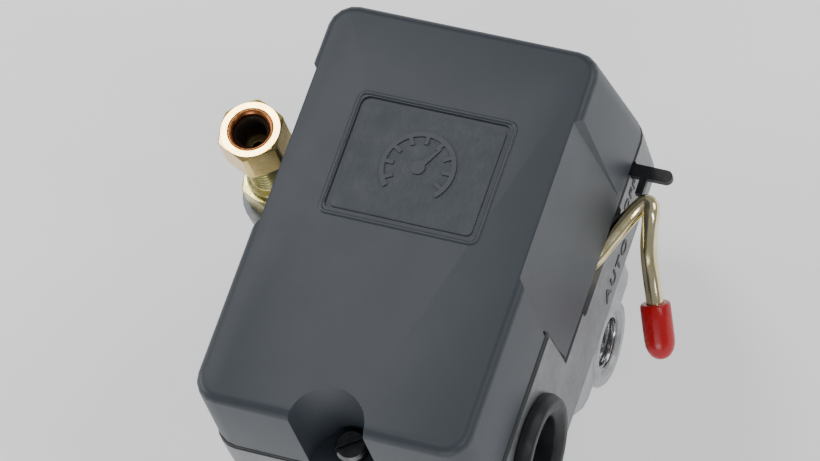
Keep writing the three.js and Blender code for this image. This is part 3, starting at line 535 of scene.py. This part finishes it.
# The cords stand for the dark gap under the rim: painted shade, not a part of the switch
for i, run in enumerate(runs):
    add(f"rim_gap_shade_{i + 1}", *swept([Vector(p) for p in run], CORD_R, 12), RUBBER, "base",
        "black_rubber", at(0, 0))

# ---------- threads cut in the ports ----------
PORT_PITCH = 1.41
PORT_IN, PORT_OUT = -10.9, -0.75    # the thread's ends, from the port's face


def wall(z):
    """Radius of the tapered hole at depth z."""
    return 6.22 + (6.22 - 5.55) * (z + 1.1) / 10.0


for name, axis, place in (("right", "+x", (30, 11, 16)), ("left", "-x", (-30, 11, 16)),
                          ("front", "-y", (0, -14, 16)), ("tank", "-z", (0, 11, 0))):
    rows = screw_rows(PORT_IN, PORT_OUT, PORT_PITCH, lambda z: wall(z) - 0.72, 0.70, 0.5, inward=True)
    back = [(wall(z) + 0.25, z) for z in (PORT_OUT, PORT_IN)]
    add("port_thread_" + name, *turned(rows + back, 72), THREAD, "base", "cast_light",
        at(*place) @ facing(axis))


# ---------- framed field on the cover ----------
def frame_path(x0, x1, y0, y1, corner_r, z):
    """Closed rounded rectangle as points."""
    out = []
    for cx, cy, start in ((x1 - corner_r, y1 - corner_r, 0), (x0 + corner_r, y1 - corner_r, 90),
                          (x0 + corner_r, y0 + corner_r, 180), (x1 - corner_r, y0 + corner_r, 270)):
        for i in range(7):
            a = math.radians(start + 15 * i)
            out.append(Vector((cx + corner_r * math.cos(a), cy + corner_r * math.sin(a), z)))
    return out


def closed_bead(points, radius, sides=10):
    verts = []
    for i, p in enumerate(points):
        ahead = (points[(i + 1) % len(points)] - points[i - 1]).normalized()
        side = Vector((ahead.y, -ahead.x, 0))
        for j in range(sides):
            t = 2 * math.pi * j / sides
            verts.append(p + side * (radius * math.cos(t)) + Vector((0, 0, radius * math.sin(t))))
    return verts, around(len(points), sides)


add("field_frame", *closed_bead(frame_path(-16.75, 16.75, -0.85, 26.35, 1.6, 81.82), 0.5), PLASTIC,
    "cover", "black_plastic", at(0, 0))
field = frame_path(-15.1, 15.1, 0.8, 24.7, 1.1, 0)
plate = [v + Vector((0, 0, z)) for z in (81.5, 81.76) for v in field]
n = len(field)
plate_faces = [tuple(range(n - 1, -1, -1)), tuple(range(n, 2 * n))] + [
    (i, (i + 1) % n, n + (i + 1) % n, n + i) for i in range(n)]
add("field_grain", plate, plate_faces, FIELD, "cover", "black_plastic", at(0, 0))


# ---------- raised marks ----------
WALL_X = 30.0
MARK_LIFT = 0.10


def words(name, text, size, x, y, z):
    """Raised letters on the right wall."""
    curve = bpy.data.curves.new(name, "FONT")
    curve.body = text
    curve.size = size * MM
    curve.extrude = MARK_LIFT * MM
    curve.bevel_depth = 0.05 * MM
    curve.offset = 0.07 * MM
    curve.space_character = 1.25
    curve.align_x = "CENTER"
    curve.align_y = "CENTER"
    temp = bpy.data.objects.new(name + "_curve", curve)
    bpy.context.scene.collection.objects.link(temp)
    bpy.context.view_layer.update()
    mesh = bpy.data.meshes.new_from_object(temp)
    bpy.data.objects.remove(temp)
    obj = bpy.data.objects.new(name, mesh)
    bpy.context.scene.collection.objects.link(obj)
    across = Matrix(((0, 0, 1, 0), (1, 0, 0, 0), (0, 1, 0, 0), (0, 0, 0, 1)))
    mesh.transform(Matrix.Translation((x * MM, (y - PORT_Y) * MM, z * MM)) @ across)
    mesh.materials.clear()
    mesh.materials.append(BLACK_STEEL)
    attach(obj, "base")


words("mark_auto", "AUTO", 4.5, WALL_X, 22.0, 29.4)
words("mark_off", "OFF", 3.7, WALL_X, 35.6, 37.2)

# ---------- camera, floor and light ----------
camera_data = bpy.data.cameras.new("camera")
camera_data.sensor_width = 36.0
camera_data.lens = 203.9
camera_data.clip_end = 10.0
camera = bpy.data.objects.new("camera", camera_data)
bpy.context.scene.collection.objects.link(camera)
eye, aim = Vector((0.2875, -0.3412, 0.8880)), Vector((-0.0083, 0.0012, 0.05))
roll = math.radians(-24.68)
look = (aim - eye).to_track_quat("-Z", "Y").to_matrix().to_4x4()
camera.matrix_world = Matrix.Translation(eye) @ look @ Matrix.Rotation(roll, 4, "Z")
bpy.context.scene.camera = camera

FLOOR_Z = -0.002
floor_mesh = bpy.data.meshes.new("floor")
floor_mesh.from_pydata([(x, y, FLOOR_Z) for x, y in ((-4, -4), (4, -4), (4, 4), (-4, 4))], [],
                       [(0, 1, 2, 3)])
floor = bpy.data.objects.new("floor", floor_mesh)
bpy.context.scene.collection.objects.link(floor)
floor_mat = bpy.data.materials.new("pale_floor")
floor_mat.use_nodes = True
floor_shade = floor_mat.node_tree.nodes["Principled BSDF"]
floor_shade.inputs["Base Color"].default_value = (0.93, 0.93, 0.93, 1)
floor_shade.inputs["Roughness"].default_value = 0.9
floor_shade.inputs["Emission Color"].default_value = (1, 1, 1, 1)
floor_shade.inputs["Emission Strength"].default_value = 0.35
floor_mesh.materials.append(floor_mat)

world = bpy.data.worlds.new("studio")
world.use_nodes = True
sky = world.node_tree.nodes["Background"]
sky.inputs["Color"].default_value = (0.95, 0.97, 1.0, 1)
sky.inputs["Strength"].default_value = 0.32
bpy.context.scene.world = world


def softbox(name, place, target, size, power):
    light = bpy.data.lights.new(name, "AREA")
    light.shape = "RECTANGLE"
    light.size, light.size_y = size
    light.energy = power
    obj = bpy.data.objects.new(name, light)
    bpy.context.scene.collection.objects.link(obj)
    obj.location = place
    obj.rotation_euler = (Vector(target) - Vector(place)).to_track_quat("-Z", "Y").to_euler()


softbox("key", (0.85, 0.80, 0.85), (0, 0, 0.04), (0.6, 0.6), 5)
softbox("overhead", (-0.55, 0.51, 1.25), (0, 0, 0.05), (0.34, 0.40), 5)
softbox("strip", (0.80, -0.15, 0.90), (0, 0, 0.04), (0.12, 0.6), 2.5)
softbox("side", (-1.0, -0.15, 0.55), (0, 0, 0.04), (0.7, 0.4), 5.5)
softbox("front", (0.25, -1.1, 0.40), (0, 0, 0.04), (0.8, 0.3), 4)
